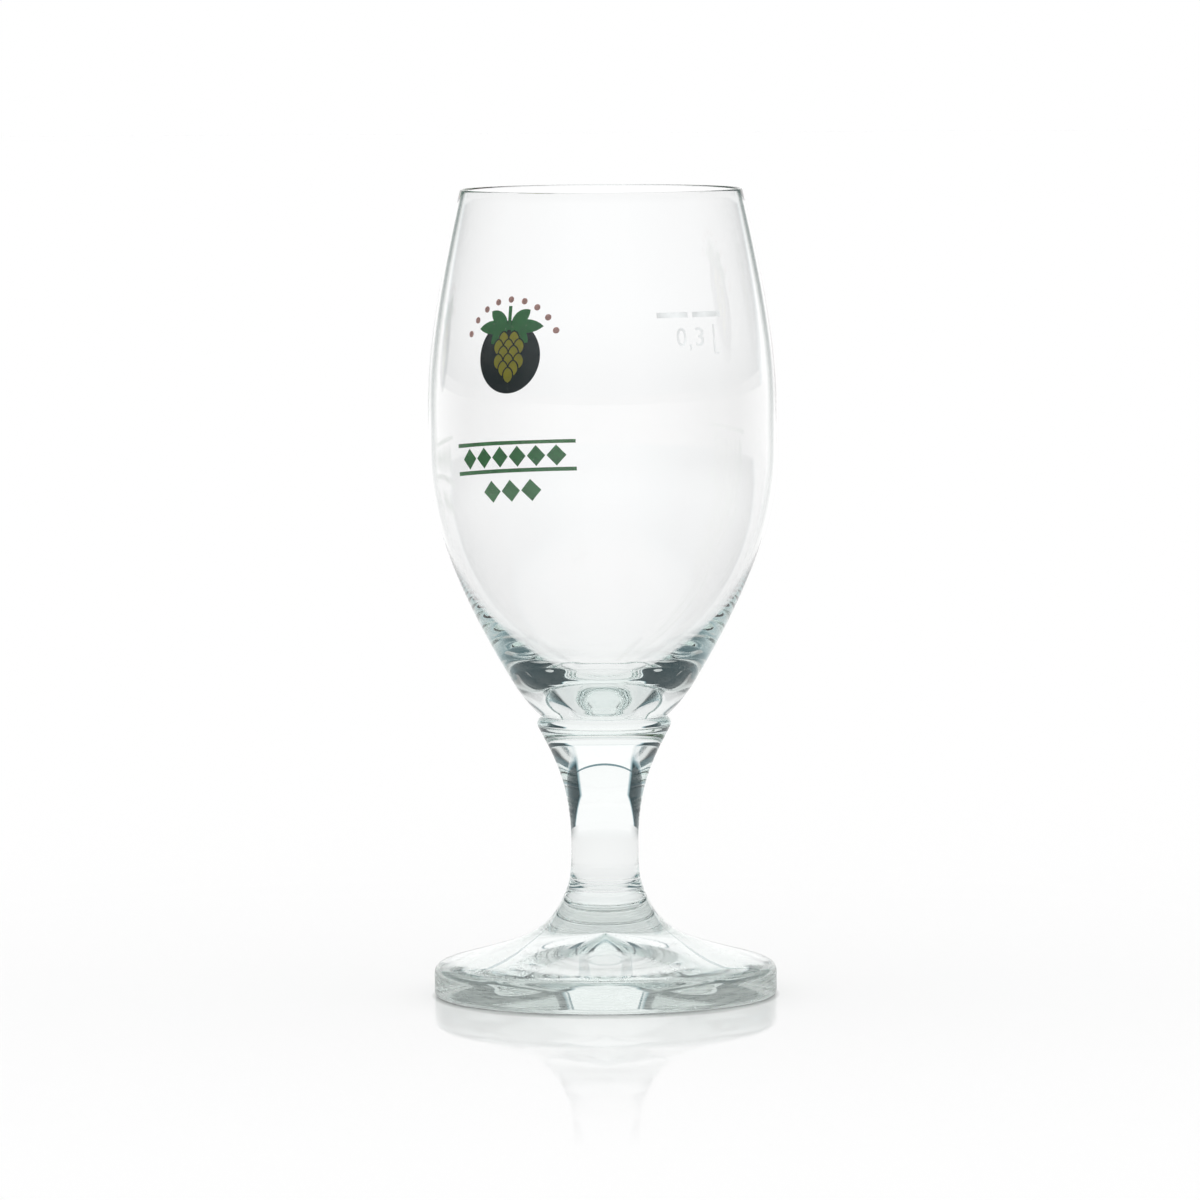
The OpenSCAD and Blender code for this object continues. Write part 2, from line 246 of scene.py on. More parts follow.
def revolveTree():
    tree = bpy.data.node_groups.new("revolveOutline", "GeometryNodeTree")
    face = tree.interface
    face.new_socket("Geometry", in_out="INPUT", socket_type="NodeSocketGeometry")
    face.new_socket("Around", in_out="INPUT", socket_type="NodeSocketInt")
    face.new_socket("Material", in_out="INPUT", socket_type="NodeSocketMaterial")
    face.new_socket("Geometry", in_out="OUTPUT", socket_type="NodeSocketGeometry")
    given = addNode(tree, "NodeGroupInput").outputs
    rows = addNode(tree, "GeometryNodeAttributeDomainSize", {"Geometry": given["Geometry"]},
                   component="MESH").outputs["Point Count"]
    columns = addNode(tree, "ShaderNodeMath", {0: given["Around"], 1: 1.0}, operation="ADD").outputs[0]
    grid = addNode(tree, "GeometryNodeMeshGrid", {"Vertices X": columns, "Vertices Y": rows})
    index = addNode(tree, "GeometryNodeInputIndex").outputs[0]
    row = addNode(tree, "ShaderNodeMath", {0: index, 1: rows}, operation="MODULO").outputs[0]
    column = addNode(tree, "ShaderNodeMath", {0: index, 1: rows}, operation="DIVIDE").outputs[0]
    column = addNode(tree, "ShaderNodeMath", {0: column}, operation="FLOOR").outputs[0]
    turn = addNode(tree, "ShaderNodeMath", {0: column, 1: given["Around"]}, operation="DIVIDE").outputs[0]
    turn = addNode(tree, "ShaderNodeMath", {0: turn, 1: math.tau}, operation="MULTIPLY").outputs[0]
    place = addNode(tree, "GeometryNodeInputPosition").outputs[0]
    point = addNode(tree, "GeometryNodeSampleIndex", {
        "Geometry": given["Geometry"], "Value": place, "Index": row},
        data_type="FLOAT_VECTOR", domain="POINT").outputs[0]
    spun = addNode(tree, "ShaderNodeVectorRotate", {
        "Vector": point, "Axis": (0.0, 0.0, 1.0), "Angle": turn}, rotation_type="AXIS_ANGLE").outputs[0]
    swept = addNode(tree, "GeometryNodeSetPosition", {"Geometry": grid.outputs["Mesh"], "Position": spun})
    closed = addNode(tree, "GeometryNodeMergeByDistance", {"Geometry": swept.outputs[0], "Distance": weld})
    turned = addNode(tree, "GeometryNodeFlipFaces", {"Mesh": closed.outputs[0]})
    smooth = addNode(tree, "GeometryNodeSetShadeSmooth", {"Geometry": turned.outputs[0]})
    real = addNode(tree, "GeometryNodeRealizeInstances", {"Geometry": smooth.outputs[0]})
    painted = addNode(tree, "GeometryNodeSetMaterial", {
        "Geometry": real.outputs[0], "Material": given["Material"]})
    addNode(tree, "NodeGroupOutput", {"Geometry": painted.outputs[0]})
    return tree


# what the glass is made of and what lies on it; lengths in mm. From and To are where a noise's value begins
# and ends to count, Least and Most are the shares that they give.
sodaLime = {
    "index": 1.52,
    "iron": "#d3e2de",     # what a long way through the glass leaves of white
    "density": 11.0,
    "paintedEdgeShade": "#4c6660",     # painted shade: dark line on the outside where the wall is seen nearly edge-on
    "edgeShadeFrom": 0.68, "edgeShadeFull": 0.75,        # how edge-on the wall is where the painted shade begins, is full, fades and ends
    "edgeShadeFade": 0.79, "edgeShadeEnd": 0.85,         # fades and ends
    "edgeShadeLow": 100, "edgeShadeLeast": 0.04,
    "edgeShadeHigh": 175, "edgeShadeMost": 0.7,
    "dust": "#e3e9e6",
    "dustHigh": 22, "dustLow": 8,              # no dust above the first height, all of it below the second
    "cloud": 9, "cloudFrom": 0.35, "cloudTo": 0.7, "cloudMost": 0.06,
    "grain": 0.7, "grainFrom": 0.4, "grainTo": 0.7, "grainLeast": 0.6, "grainMost": 1.4,
    "scuff": 6, "scuffFlat": 14,               # length of a scuff, and how many times its height that is
    "scuffFrom": 0.3, "scuffTo": 0.7, "scuffLeast": 0.2, "scuffMost": 0.44,
    "scuffIn": 36.3, "scuffOut": 37.6,         # none within the first radius, all outside the second
    "scuffHigh": 8.5, "scuffLow": 5,
}


def clearGlass(c):
    # soda-lime glass, blown and pressed, then fire-polished: clean refraction with no grain, and a little
    # iron that gives only the thick places a grey-green cast; a dark diffuse mixed in as painted shade
    # darkens the outside of the wall where it is seen nearly edge-on, and dust and scuffs make the foot paler
    material = bpy.data.materials.new("sodaLimeGlass")
    material.use_nodes = True
    tree = material.node_tree
    tree.nodes.clear()
    coordinates = addNode(tree, "ShaderNodeTexCoord").outputs
    place = coordinates["Object"]
    height = addNode(tree, "ShaderNodeSeparateXYZ", {0: place}).outputs["Z"]
    level = addNode(tree, "ShaderNodeVectorMath", {0: place, 1: (1.0, 1.0, 0.0)},
                    operation="MULTIPLY").outputs[0]
    radius = addNode(tree, "ShaderNodeVectorMath", {0: level}, operation="LENGTH").outputs["Value"]

    # painted shade: a dark edge line where the wall is seen nearly edge-on, on the outside only, stronger
    # higher up
    edgeOn = addNode(tree, "ShaderNodeLayerWeight", {"Blend": 0.5}).outputs["Facing"]
    rising = addNode(tree, "ShaderNodeMapRange", {
        "Value": edgeOn, "From Min": c["edgeShadeFrom"], "From Max": c["edgeShadeFull"]}).outputs[0]
    falling = addNode(tree, "ShaderNodeMapRange", {
        "Value": edgeOn, "From Min": c["edgeShadeEnd"], "From Max": c["edgeShadeFade"]}).outputs[0]
    paintedEdgeShade = addNode(tree, "ShaderNodeMath", {0: rising, 1: falling}, operation="MULTIPLY").outputs[0]
    upper = addNode(tree, "ShaderNodeMapRange", {
        "Value": height, "From Min": c["edgeShadeLow"] * mm, "From Max": c["edgeShadeHigh"] * mm,
        "To Min": c["edgeShadeLeast"], "To Max": c["edgeShadeMost"]}).outputs[0]
    paintedEdgeShade = addNode(tree, "ShaderNodeMath", {0: paintedEdgeShade, 1: upper}, operation="MULTIPLY").outputs[0]
    outer = addNode(tree, "ShaderNodeVectorMath", {0: level, 1: coordinates["Normal"]},
                    operation="DOT_PRODUCT").outputs["Value"]
    outer = addNode(tree, "ShaderNodeMath", {0: outer, 1: 0.0}, operation="GREATER_THAN").outputs[0]
    paintedEdgeShade = addNode(tree, "ShaderNodeMath", {0: paintedEdgeShade, 1: outer}, operation="MULTIPLY").outputs[0]

    # dust low on the foot
    cloud = addNode(tree, "ShaderNodeTexNoise", {
        "Vector": place, "Scale": 1 / (c["cloud"] * mm), "Detail": 4.0}).outputs[0]
    cloud = addNode(tree, "ShaderNodeMapRange", {
        "Value": cloud, "From Min": c["cloudFrom"], "From Max": c["cloudTo"],
        "To Max": c["cloudMost"]}).outputs[0]
    grain = addNode(tree, "ShaderNodeTexNoise", {
        "Vector": place, "Scale": 1 / (c["grain"] * mm), "Detail": 2.0}).outputs[0]
    grain = addNode(tree, "ShaderNodeMapRange", {
        "Value": grain, "From Min": c["grainFrom"], "From Max": c["grainTo"],
        "To Min": c["grainLeast"], "To Max": c["grainMost"]}).outputs[0]
    dusty = addNode(tree, "ShaderNodeMath", {0: cloud, 1: grain}, operation="MULTIPLY").outputs[0]
    lowDown = addNode(tree, "ShaderNodeMapRange", {
        "Value": height, "From Min": c["dustHigh"] * mm, "From Max": c["dustLow"] * mm}).outputs[0]
    dusty = addNode(tree, "ShaderNodeMath", {0: dusty, 1: lowDown}, operation="MULTIPLY").outputs[0]

    # scuffs on the foot's edge
    flat = addNode(tree, "ShaderNodeVectorMath", {0: place, 1: (1.0, 1.0, c["scuffFlat"])},
                   operation="MULTIPLY").outputs[0]
    scuff = addNode(tree, "ShaderNodeTexNoise", {
        "Vector": flat, "Scale": 1 / (c["scuff"] * mm), "Detail": 3.0}).outputs[0]
    scuff = addNode(tree, "ShaderNodeMapRange", {
        "Value": scuff, "From Min": c["scuffFrom"], "From Max": c["scuffTo"],
        "To Min": c["scuffLeast"], "To Max": c["scuffMost"]}).outputs[0]
    farOut = addNode(tree, "ShaderNodeMapRange", {
        "Value": radius, "From Min": c["scuffIn"] * mm, "From Max": c["scuffOut"] * mm}).outputs[0]
    lowDown = addNode(tree, "ShaderNodeMapRange", {
        "Value": height, "From Min": c["scuffHigh"] * mm, "From Max": c["scuffLow"] * mm}).outputs[0]
    scuff = addNode(tree, "ShaderNodeMath", {0: scuff, 1: farOut}, operation="MULTIPLY").outputs[0]
    scuff = addNode(tree, "ShaderNodeMath", {0: scuff, 1: lowDown}, operation="MULTIPLY").outputs[0]
    dusty = addNode(tree, "ShaderNodeMath", {0: dusty, 1: scuff}, operation="MAXIMUM").outputs[0]

    bare = addNode(tree, "ShaderNodeBsdfPrincipled", {
        "Base Color": (1, 1, 1, 1), "Roughness": 0.0, "IOR": c["index"], "Transmission Weight": 1.0})
    paintedShadeDiffuse = addNode(tree, "ShaderNodeBsdfDiffuse", {"Color": srgb(c["paintedEdgeShade"])})
    # the dark diffuse that paints the shade along the wall's edge-on outline
    dust = addNode(tree, "ShaderNodeBsdfDiffuse", {"Color": srgb(c["dust"])})
    edgeShaded = addNode(tree, "ShaderNodeMixShader", {0: paintedEdgeShade, 1: bare.outputs[0], 2: paintedShadeDiffuse.outputs[0]})
    surface = addNode(tree, "ShaderNodeMixShader", {0: dusty, 1: edgeShaded.outputs[0], 2: dust.outputs[0]})
    body = addNode(tree, "ShaderNodeVolumeAbsorption", {"Color": srgb(c["iron"]), "Density": c["density"]})
    addNode(tree, "ShaderNodeOutputMaterial", {"Surface": surface.outputs[0], "Volume": body.outputs[0]})
    return material


def makeGlass(g):
    outline = glassOutline(g)
    body = grown("glassBody", [(p.x * mm, 0, p.y * mm) for p in outline],
                 [(i, i + 1) for i in range(len(outline) - 1)], [], revolveTree(),
                 {"Around": g["around"], "Material": clearGlass(sodaLime)})
    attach(body, "root")
    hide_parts("bowl", "stem", "foot")
    print("glass:", len(outline), "points in the outline,", len(body.data.polygons), "faces")
    return body


glassBody = makeGlass(glass)

# fired enamel: flat shapes in mm, as wide and high as they look from outside, laid onto the bowl
enamel = {
    "thickness": 0.08,     # mm proud of the glass
    "sunk": 0.02,          # mm fused into it
    "cell": 1.1,           # mm between the lines that let a shape bend with the glass
    "cellStart": 0.37,     # where the first line lies in its cell, so that none meets a shape's edge
    "start": 70,           # mm from the axis, where a shape sets out for the bowl
    "reach": 100,          # mm that it may travel
    "join": 1e-5,          # mm, corners of shapes nearer than this become one
    "stipple": 0.4, "stippleDepth": 0.02, "stippleStrength": 0.25,
    "pinholes": 1.1,       # mm apart
    "bare": "#c9d2cd",     # glass in a pinhole, painted pale for the light that shines through it from behind
    "mottle": 3.0, "mottleFrom": 0.3, "mottleTo": 0.7, "mottleLeast": 0.88, "mottleMost": 1.14,
    "roughness": 0.42, "index": 1.6, "specular": 0.1,
}


def layTree():
    tree = bpy.data.node_groups.new("layOntoGlass", "GeometryNodeTree")
    face = tree.interface
    face.new_socket("Geometry", in_out="INPUT", socket_type="NodeSocketGeometry")
    face.new_socket("Glass", in_out="INPUT", socket_type="NodeSocketObject")
    face.new_socket("Material", in_out="INPUT", socket_type="NodeSocketMaterial")
    for name in ("Turn", "Start", "Reach", "Thickness", "Sunk"):
        face.new_socket(name, in_out="INPUT", socket_type="NodeSocketFloat")
    face.new_socket("Geometry", in_out="OUTPUT", socket_type="NodeSocketGeometry")
    given = addNode(tree, "NodeGroupInput").outputs
    flat = addNode(tree, "GeometryNodeInputPosition").outputs[0]
    parts = addNode(tree, "ShaderNodeSeparateXYZ", {0: flat}).outputs
    apart = addNode(tree, "ShaderNodeCombineXYZ", {
        "X": given["Start"], "Y": parts["X"], "Z": parts["Z"]}).outputs[0]
    origin = addNode(tree, "ShaderNodeVectorRotate",
                     {"Vector": apart, "Axis": (0.0, 0.0, 1.0), "Angle": given["Turn"]}).outputs[0]
    inward = addNode(tree, "ShaderNodeVectorRotate",
                     {"Vector": (-1.0, 0.0, 0.0), "Axis": (0.0, 0.0, 1.0), "Angle": given["Turn"]}).outputs[0]
    target = addNode(tree, "GeometryNodeObjectInfo", {"Object": given["Glass"]}).outputs["Geometry"]
    hit = addNode(tree, "GeometryNodeRaycast", {
        "Target Geometry": target, "Source Position": origin, "Ray Direction": inward,
        "Ray Length": given["Reach"]})
    sink = addNode(tree, "ShaderNodeVectorMath", {0: inward, "Scale": given["Sunk"]},
                   operation="SCALE").outputs[0]
    laid = addNode(tree, "GeometryNodeSetPosition", {
        "Geometry": given["Geometry"], "Position": hit.outputs["Hit Position"], "Offset": sink}).outputs[0]
    outward = addNode(tree, "ShaderNodeVectorMath", {0: inward, "Scale": -1.0}, operation="SCALE").outputs[0]
    depth = addNode(tree, "ShaderNodeMath", {0: given["Thickness"], 1: given["Sunk"]},
                    operation="ADD").outputs[0]
    skin = addNode(tree, "GeometryNodeExtrudeMesh", {
        "Mesh": laid, "Offset": outward, "Offset Scale": depth, "Individual": False}).outputs["Mesh"]
    back = addNode(tree, "GeometryNodeFlipFaces", {"Mesh": laid}).outputs[0]
    both = addNode(tree, "GeometryNodeJoinGeometry", {"Geometry": skin})
    tree.links.new(back, both.inputs["Geometry"])
    closed = addNode(tree, "GeometryNodeMergeByDistance", {"Geometry": both.outputs[0], "Distance": weld})
    real = addNode(tree, "GeometryNodeRealizeInstances", {"Geometry": closed.outputs[0]})
    painted = addNode(tree, "GeometryNodeSetMaterial", {
        "Geometry": real.outputs[0], "Material": given["Material"]})
    addNode(tree, "NodeGroupOutput", {"Geometry": painted.outputs[0]})
    return tree


def firedEnamel(e, name, code, wear):
    # lead-free glass enamel, screen-printed in stipple and fired: satin, dense, with pinholes where the
    # screen left no paste; the stipple of about 0.1 mm is drawn at 0.4 mm, as fine as the render shows
    material = bpy.data.materials.new(name)
    material.use_nodes = True
    tree = material.node_tree
    tree.nodes.clear()
    place = addNode(tree, "ShaderNodeTexCoord").outputs["Object"]
    stipple = addNode(tree, "ShaderNodeTexVoronoi", {
        "Vector": place, "Scale": 1 / (e["stipple"] * mm)}).outputs["Distance"]
    pinholes = addNode(tree, "ShaderNodeTexVoronoi", {
        "Vector": place, "Scale": 1 / (e["pinholes"] * mm)}).outputs["Distance"]
    hole = addNode(tree, "ShaderNodeMapRange", {
        "Value": pinholes, "From Min": wear, "From Max": wear / 2}).outputs[0]
    mottle = addNode(tree, "ShaderNodeTexNoise", {
        "Vector": place, "Scale": 1 / (e["mottle"] * mm), "Detail": 3.0}).outputs[0]
    shade = addNode(tree, "ShaderNodeMapRange", {
        "Value": mottle, "From Min": e["mottleFrom"], "From Max": e["mottleTo"],
        "To Min": e["mottleLeast"], "To Max": e["mottleMost"]}).outputs[0]
    ink = addNode(tree, "ShaderNodeVectorMath", {0: srgb(code)[:3], "Scale": shade},
                  operation="SCALE").outputs[0]
    # real pinholes in the enamel, given the pale colour above as painted light coming through them
    colour = addNode(tree, "ShaderNodeMix", {"Factor": hole, 6: ink, 7: srgb(e["bare"])}, data_type="RGBA")
    bump = addNode(tree, "ShaderNodeBump", {
        "Height": stipple, "Strength": e["stippleStrength"], "Distance": e["stippleDepth"] * mm})
    shader = addNode(tree, "ShaderNodeBsdfPrincipled", {
        "Base Color": colour.outputs[2], "Roughness": e["roughness"], "IOR": e["index"],
        "Specular IOR Level": e["specular"], "Normal": bump.outputs[0]})
    addNode(tree, "ShaderNodeOutputMaterial", {"Surface": shader.outputs[0]})
    return material


def anticlockwise(points):        # as the triangulation wants its faces
    area = sum(a[0] * b[1] - b[0] * a[1] for a, b in zip(points, points[1:] + points[:1]))
    return points if area > 0 else points[::-1]


def cutPatches(shapes, colourOf):        # {colour: (points, triangles)} from shapes that lie over each other
    points, faces, edges = [], [], []
    for _, outline in shapes:
        faces.append(list(range(len(points), len(points) + len(outline))))
        points += [Vector(p) for p in anticlockwise(outline)]
    low = Vector((min(p.x for p in points), min(p.y for p in points)))
    high = Vector((max(p.x for p in points), max(p.y for p in points)))
    for axis in (0, 1):
        cells = math.ceil((high[axis] - low[axis]) / enamel["cell"])
        for i in range(1, cells):
            line = [low.copy(), high.copy()]
            for end in line:
                end[axis] = low[axis] + (high[axis] - low[axis]) * (i + enamel["cellStart"]) / cells
            edges.append((len(points), len(points) + 1))
            points += line
    verts, _, triangles, _, _, origins = delaunay_2d_cdt(points, edges, faces, 0, enamel["join"], True)
    patches = {}
    for triangle, origin in zip(triangles, origins):
        colour = colourOf({shapes[i][0] for i in origin if i < len(shapes)})
        if colour:
            patches.setdefault(colour, []).append(triangle)
    return {colour: (verts, found) for colour, found in patches.items()}


def inkOf(over):        # for shapes of one colour
    return "ink" if over else None


def layEnamel(name, node, material, patches, turn, height):
    verts, triangles = [], []
    for found, tris in patches:
        used = sorted({i for t in tris for i in t})
        index = {old: len(verts) + new for new, old in enumerate(used)}
        verts += [(found[i].x * mm, 0, (found[i].y + height) * mm) for i in used]
        triangles += [tuple(index[i] for i in t) for t in tris]
    piece = grown(name, verts, [], triangles, layTree(), {
        "Glass": glassBody, "Material": material, "Turn": math.radians(turn), "Start": enamel["start"] * mm,
        "Reach": enamel["reach"] * mm, "Thickness": enamel["thickness"] * mm, "Sunk": enamel["sunk"] * mm})
    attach(piece, "root")
    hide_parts(node)
    print(f"{name}:", len(piece.data.polygons), "faces")


def box(x0, y0, x1, y1):
    return [Vector(p) for p in ((x0, y0), (x1, y0), (x1, y1), (x0, y1))]


def disc(centre, radius, corners):
    return arc(centre, radius, 0, 360 * (corners - 1) / corners, corners - 1)


# hop print: medallion with a hop cone, sprig, bead arch, ruled band and a row of lozenges
hopPrint = {
    "turn": 124.5, "height": 142.8, "medallion": 17, "root": 0.85,
    "coneLength": 12, "coneWidth": 8.4, "scaleLength": 0.29, "scaleWidth": 0.3,
    "rows": ((1, 0), (2, 0.13), (3, 0.27), (2, 0.42), (3, 0.55), (2, 0.7)),      # scales, share of the length
    "leafLength": 8.6, "leafWidth": 3.2, "sideLobe": 0.72, "lobeTurn": 38, "leafTurn": -92,
    "arch": 13.4, "bead": 1.5, "beadStep": 16, "beadEnd": 64,
    "bandHeight": 120.2, "bandWidth": 33.5, "bandDepth": 7.3, "rule": 0.9, "lozenge": 4.6,
    "rowHeight": 112.4, "rowLozenge": (5.2, 5.0), "gap": 0.35,
    "medallionCorners": 64, "beadCorners": 20, "bladeSteps": 8,
    "inks": {"dark": ("darkEnamel", "#07130f", 0.07), "green": ("greenEnamel", "#3f934f", 0.1),
             "gold": ("ochreEnamel", "#c4bb2a", 0.08), "russet": ("russetEnamel", "#dba89f", 0.12)},
}


def blade(length, width):        # pointed oval standing on its lower tip, from two arcs
    r = (length * length + width * width) / (4 * width)
    half = math.degrees(math.asin(length / 2 / r))
    steps = hopPrint["bladeSteps"]
    right = arc((width / 2 - r, length / 2), r, -half, half, steps)
    left = arc((r - width / 2, length / 2), r, 180 - half, 180 + half, steps)
    return right + left[1:-1]


def placed(points, x=0, y=0, turn=0, side=1):
    spin = Matrix.Rotation(math.radians(turn), 2)
    moved = [spin @ p + Vector((x, y)) for p in points]
    return [Vector((side * p.x, p.y)) for p in moved]


def lozenge(width, height, x=0):
    return [Vector(p) for p in ((x - width / 2, 0), (x, -height / 2), (x + width / 2, 0), (x, height / 2))]


def hopShapes(p):
    shapes = [("medallion", disc((0, 0), p["medallion"] / 2, p["medallionCorners"]))]
    width = p["coneWidth"] * p["scaleWidth"]
    length = p["coneLength"] * p["scaleLength"]
    gap = p["gap"]
    for i, (count, share) in enumerate(p["rows"]):
        for k in range(count):
            x = (k - (count - 1) / 2) * (width + gap)
            y = p["coneLength"] * (share - 0.5)
            shapes.append((f"scale{i}", placed(blade(length, width), x, y)))
            shapes.append((f"clear{i}", placed(blade(length + 2 * gap, width + 2 * gap), x, y - gap)))
    root = p["root"] * p["medallion"] / 2
    for side in (-1, 1):
        for turn in (-p["lobeTurn"], 0, p["lobeTurn"]):
            lobe = blade(p["leafLength"] * (1 if turn == 0 else p["sideLobe"]), p["leafWidth"])
            shapes.append(("sprig", placed(lobe, p["rule"] / 2, root, p["leafTurn"] + turn, side)))
    shapes.append(("sprig", box(-p["rule"] / 2, root - p["rule"], p["rule"] / 2, p["arch"] - p["bead"])))
    for turn in range(-p["beadEnd"], p["beadEnd"] + 1, p["beadStep"]):
        centre = Matrix.Rotation(math.radians(turn), 2) @ Vector((0, p["arch"]))
        shapes.append(("bead", disc(centre, p["bead"] / 2, p["beadCorners"])))
        shapes.append(("beadClear", disc(centre, p["bead"] / 2 + gap, p["beadCorners"])))
    return shapes


def hopColour(over):        # a scale covers the two rows above it, with a thin gap round it
    scales = [i for i in range(len(hopPrint["rows"])) if f"scale{i}" in over]
    if any(f"clear{i - 1}" not in over and f"clear{i - 2}" not in over for i in scales):
        return "gold"
    if "bead" in over:
        return "russet"
    if "sprig" in over and "beadClear" not in over and not any(name.startswith("clear") for name in over):
        return "green"
    return "dark" if "medallion" in over else None


def bandShapes(p):
    half = p["bandWidth"] / 2
    shapes = []
    for side in (-1, 1):
        middle = side * (p["bandDepth"] - p["rule"]) / 2
        shapes.append(("ink", box(-half, middle - p["rule"] / 2, half, middle + p["rule"] / 2)))
    pitch = p["lozenge"] + p["gap"]
    count = int(p["bandWidth"] // pitch)
    height = p["bandDepth"] - 2 * (p["rule"] + p["gap"])
    for i in range(count):
        shapes.append(("ink", lozenge(p["lozenge"], height, (i - (count - 1) / 2) * pitch)))
    return shapes


def raised(patch, y):
    return [Vector((v.x, v.y + y)) for v in patch[0]], patch[1]


def makeHopPrint(p):
    layers = cutPatches(hopShapes(p), hopColour)
    band = cutPatches(bandShapes(p), inkOf)["ink"]
    wide, high = p["rowLozenge"]
    row = cutPatches([("ink", lozenge(wide, high, i * (wide + p["gap"]))) for i in (-1, 0, 1)], inkOf)["ink"]
    below = [raised(band, p["bandHeight"] - p["height"]), raised(row, p["rowHeight"] - p["height"])]
    for colour, (name, code, wear) in p["inks"].items():
        patches = [layers[colour]] + (below if colour == "green" else [])
        layEnamel(f"{colour}Print", f"print_{colour}",
                  firedEnamel(enamel, name, code, wear), patches, p["turn"], p["height"])


makeHopPrint(hopPrint)

# fill mark: two bars, the measure's figures and the letter for litre, in mm from the bars' middle
fillMark = {
    "turn": -58.4, "height": 155.4,
    "barDepth": 1.2, "bars": ((-8.1, -0.65), (0.65, 8.4)),
    "figures": (("0", -3.75, -6.95, 2.35, 4.1), (",", -0.6, -7.9, 0.5, 1.4), ("3", 1.0, -6.95, 2.25, 4.1)),
    "litreMiddle": 6.15, "litreFoot": -8.8, "litreHeight": 6.5, "litreStroke": 0.42,
    "tailLength": 1.2, "tailDepth": 0.7,        # the depth as a share of the stroke
    "ink": ("whiteEnamel", "#eef1f1", 0.05),
}


def figure(letter, left, foot, width, height):        # from the plain font, fitted to a box
    text = bpy.data.curves.new("figure", "FONT")
    text.body = letter
    text.resolution_u = 6
    source = bpy.data.objects.new("figure", text)
    scene.collection.objects.link(source)
    graph = bpy.context.evaluated_depsgraph_get()
    mesh = bpy.data.meshes.new_from_object(source.evaluated_get(graph), depsgraph=graph)
    bpy.data.objects.remove(source)
    xs = [v.co.x for v in mesh.vertices]
    ys = [v.co.y for v in mesh.vertices]
    wide = width / (max(xs) - min(xs))
    high = height / (max(ys) - min(ys))
    points = [Vector((left + (x - min(xs)) * wide, foot + (y - min(ys)) * high)) for x, y in zip(xs, ys)]
    faces = [list(f.vertices) if f.normal.z > 0 else list(f.vertices)[::-1] for f in mesh.polygons]
    return points, faces


def litre(f):
    stroke = f["litreStroke"]
    half = stroke / 2
    tail = f["tailLength"]
    outline = ((-half, f["litreHeight"]), (-half, stroke), (0, 0), (tail, 0), (tail, stroke * f["tailDepth"]),
               (half, stroke), (half, f["litreHeight"]))
    return [Vector((f["litreMiddle"] + x, f["litreFoot"] + y)) for x, y in outline]


def makeFillMark(f):
    half = f["barDepth"] / 2
    shapes = [("ink", box(left, -half, right, half)) for left, right in f["bars"]]
    patches = [cutPatches(shapes + [("ink", litre(f))], inkOf)["ink"]]
    patches += [figure(*values) for values in f["figures"]]
    layEnamel("fillMark", "fill_mark", firedEnamel(enamel, *f["ink"]),
              patches, f["turn"], f["height"])


makeFillMark(fillMark)

# studio: a bright wall behind the glass, dark flags on both sides that draw the thick glass, dim corners
# towards the camera, a bright strip and ceiling above and a white table. Turns are degrees from straight
# back, heights degrees above level, lengths mm, and a soft is how wide an edge is.
studio = {
    "wallHalf": 28,        # half of the bright wall's width, above spreadTop
    "wallLow": 48,         # the same at the table, where the wall spreads
    "spreadTop": 10,
    "spreadLow": 0.5,
    "wallSoft": 5,
    "wallLight": 1.07,
    "gapLow": 23.8,        # dark gap between the wall and the bright strip above it
    "gapTop": 25.0,
    "gapLight": 0.3,
    "stripLight": 1.14,
    "flagLight": 0.05,
    "flagCast": "#a4eeff",
    "windowHalf": 9,       # half of the bright gap in each flag's middle, straight to the side
    "windowSoft": 4,
    "windowLight": 0.95,
    "flankFrom": 93,       # where the dark flags end and the dim corners begin
    "flankSoft": 6,
    "flankLight": 0.17,
    "frontFrom": 138,      # where the dim corners end and the light by the camera begins
    "frontSoft": 40,
    "frontLight": 0.72,
    "flagTop": 33,
    "flagSoft": 6,
    "aroundLight": 0.85,   # above the flags
    "roofLow": 36,
    "roofSoft": 8,
    "roofLight": 1.1,
    "throughBowl": 1.06,   # the thin bowl lets the white background through on every side
    "mirrorSide": 0.06,    # what the outside of the glass mirrors beside the wall
    "mirrorTable": 0.55,   # and its share of the table's light, up to the full one
    "mirrorFrom": 120,
    "mirrorTo": 400,
    "tableNear": 0.96,     # light of the table before and behind the glass, at its sides and far away there
    "tableSide": 0.87,
    "tableFar": 1.06,
    "tableFarSide": 0.28,
    "behindFrom": 0.25,    # where the far table turns bright, from 0 beside the glass to 1 straight behind it
    "behindTo": 0.8,
    "beforeFrom": -0.25,   # and to -1 straight before it
    "beforeTo": -0.9,
    "farStart": 400,       # from the glass
    "farEnd": 1100,
    "throughEnd": 3000,
    "underFoot": 1.0,
    "glossShare": 0.38,    # how much of the table's look is its gloss, near the foot
    "glossNear": 45,
    "glossFar": 250,
    "glossRoughness": 0.03,
    "contactShade": 0.12,  # painted contact shadow: the wall lights the glass from behind, so a dark line is painted into the sheet before the foot
    "contactSide": 2.0,    # how far it reaches beside and before the resting ring
    "contactFront": 9.0,
    "tableHalf": 8000,
    "bounces": 64,         # light circles in the thick base until it finds a way out
}


def unturned(tree):        # 1 for a ray that nothing has mirrored yet
    turns = addNode(tree, "ShaderNodeLightPath").outputs["Glossy Depth"]
    return addNode(tree, "ShaderNodeMath", {0: turns, 1: 0.5}, operation="LESS_THAN").outputs[0]


def straightThrough(tree):        # 1 for such a ray that has gone through both walls of the bowl
    faces = addNode(tree, "ShaderNodeLightPath").outputs["Transmission Depth"]
    through = addNode(tree, "ShaderNodeMath", {0: faces, 1: 3.5}, operation="GREATER_THAN").outputs[0]
    return addNode(tree, "ShaderNodeMath", {0: through, 1: unturned(tree)}, operation="MULTIPLY").outputs[0]


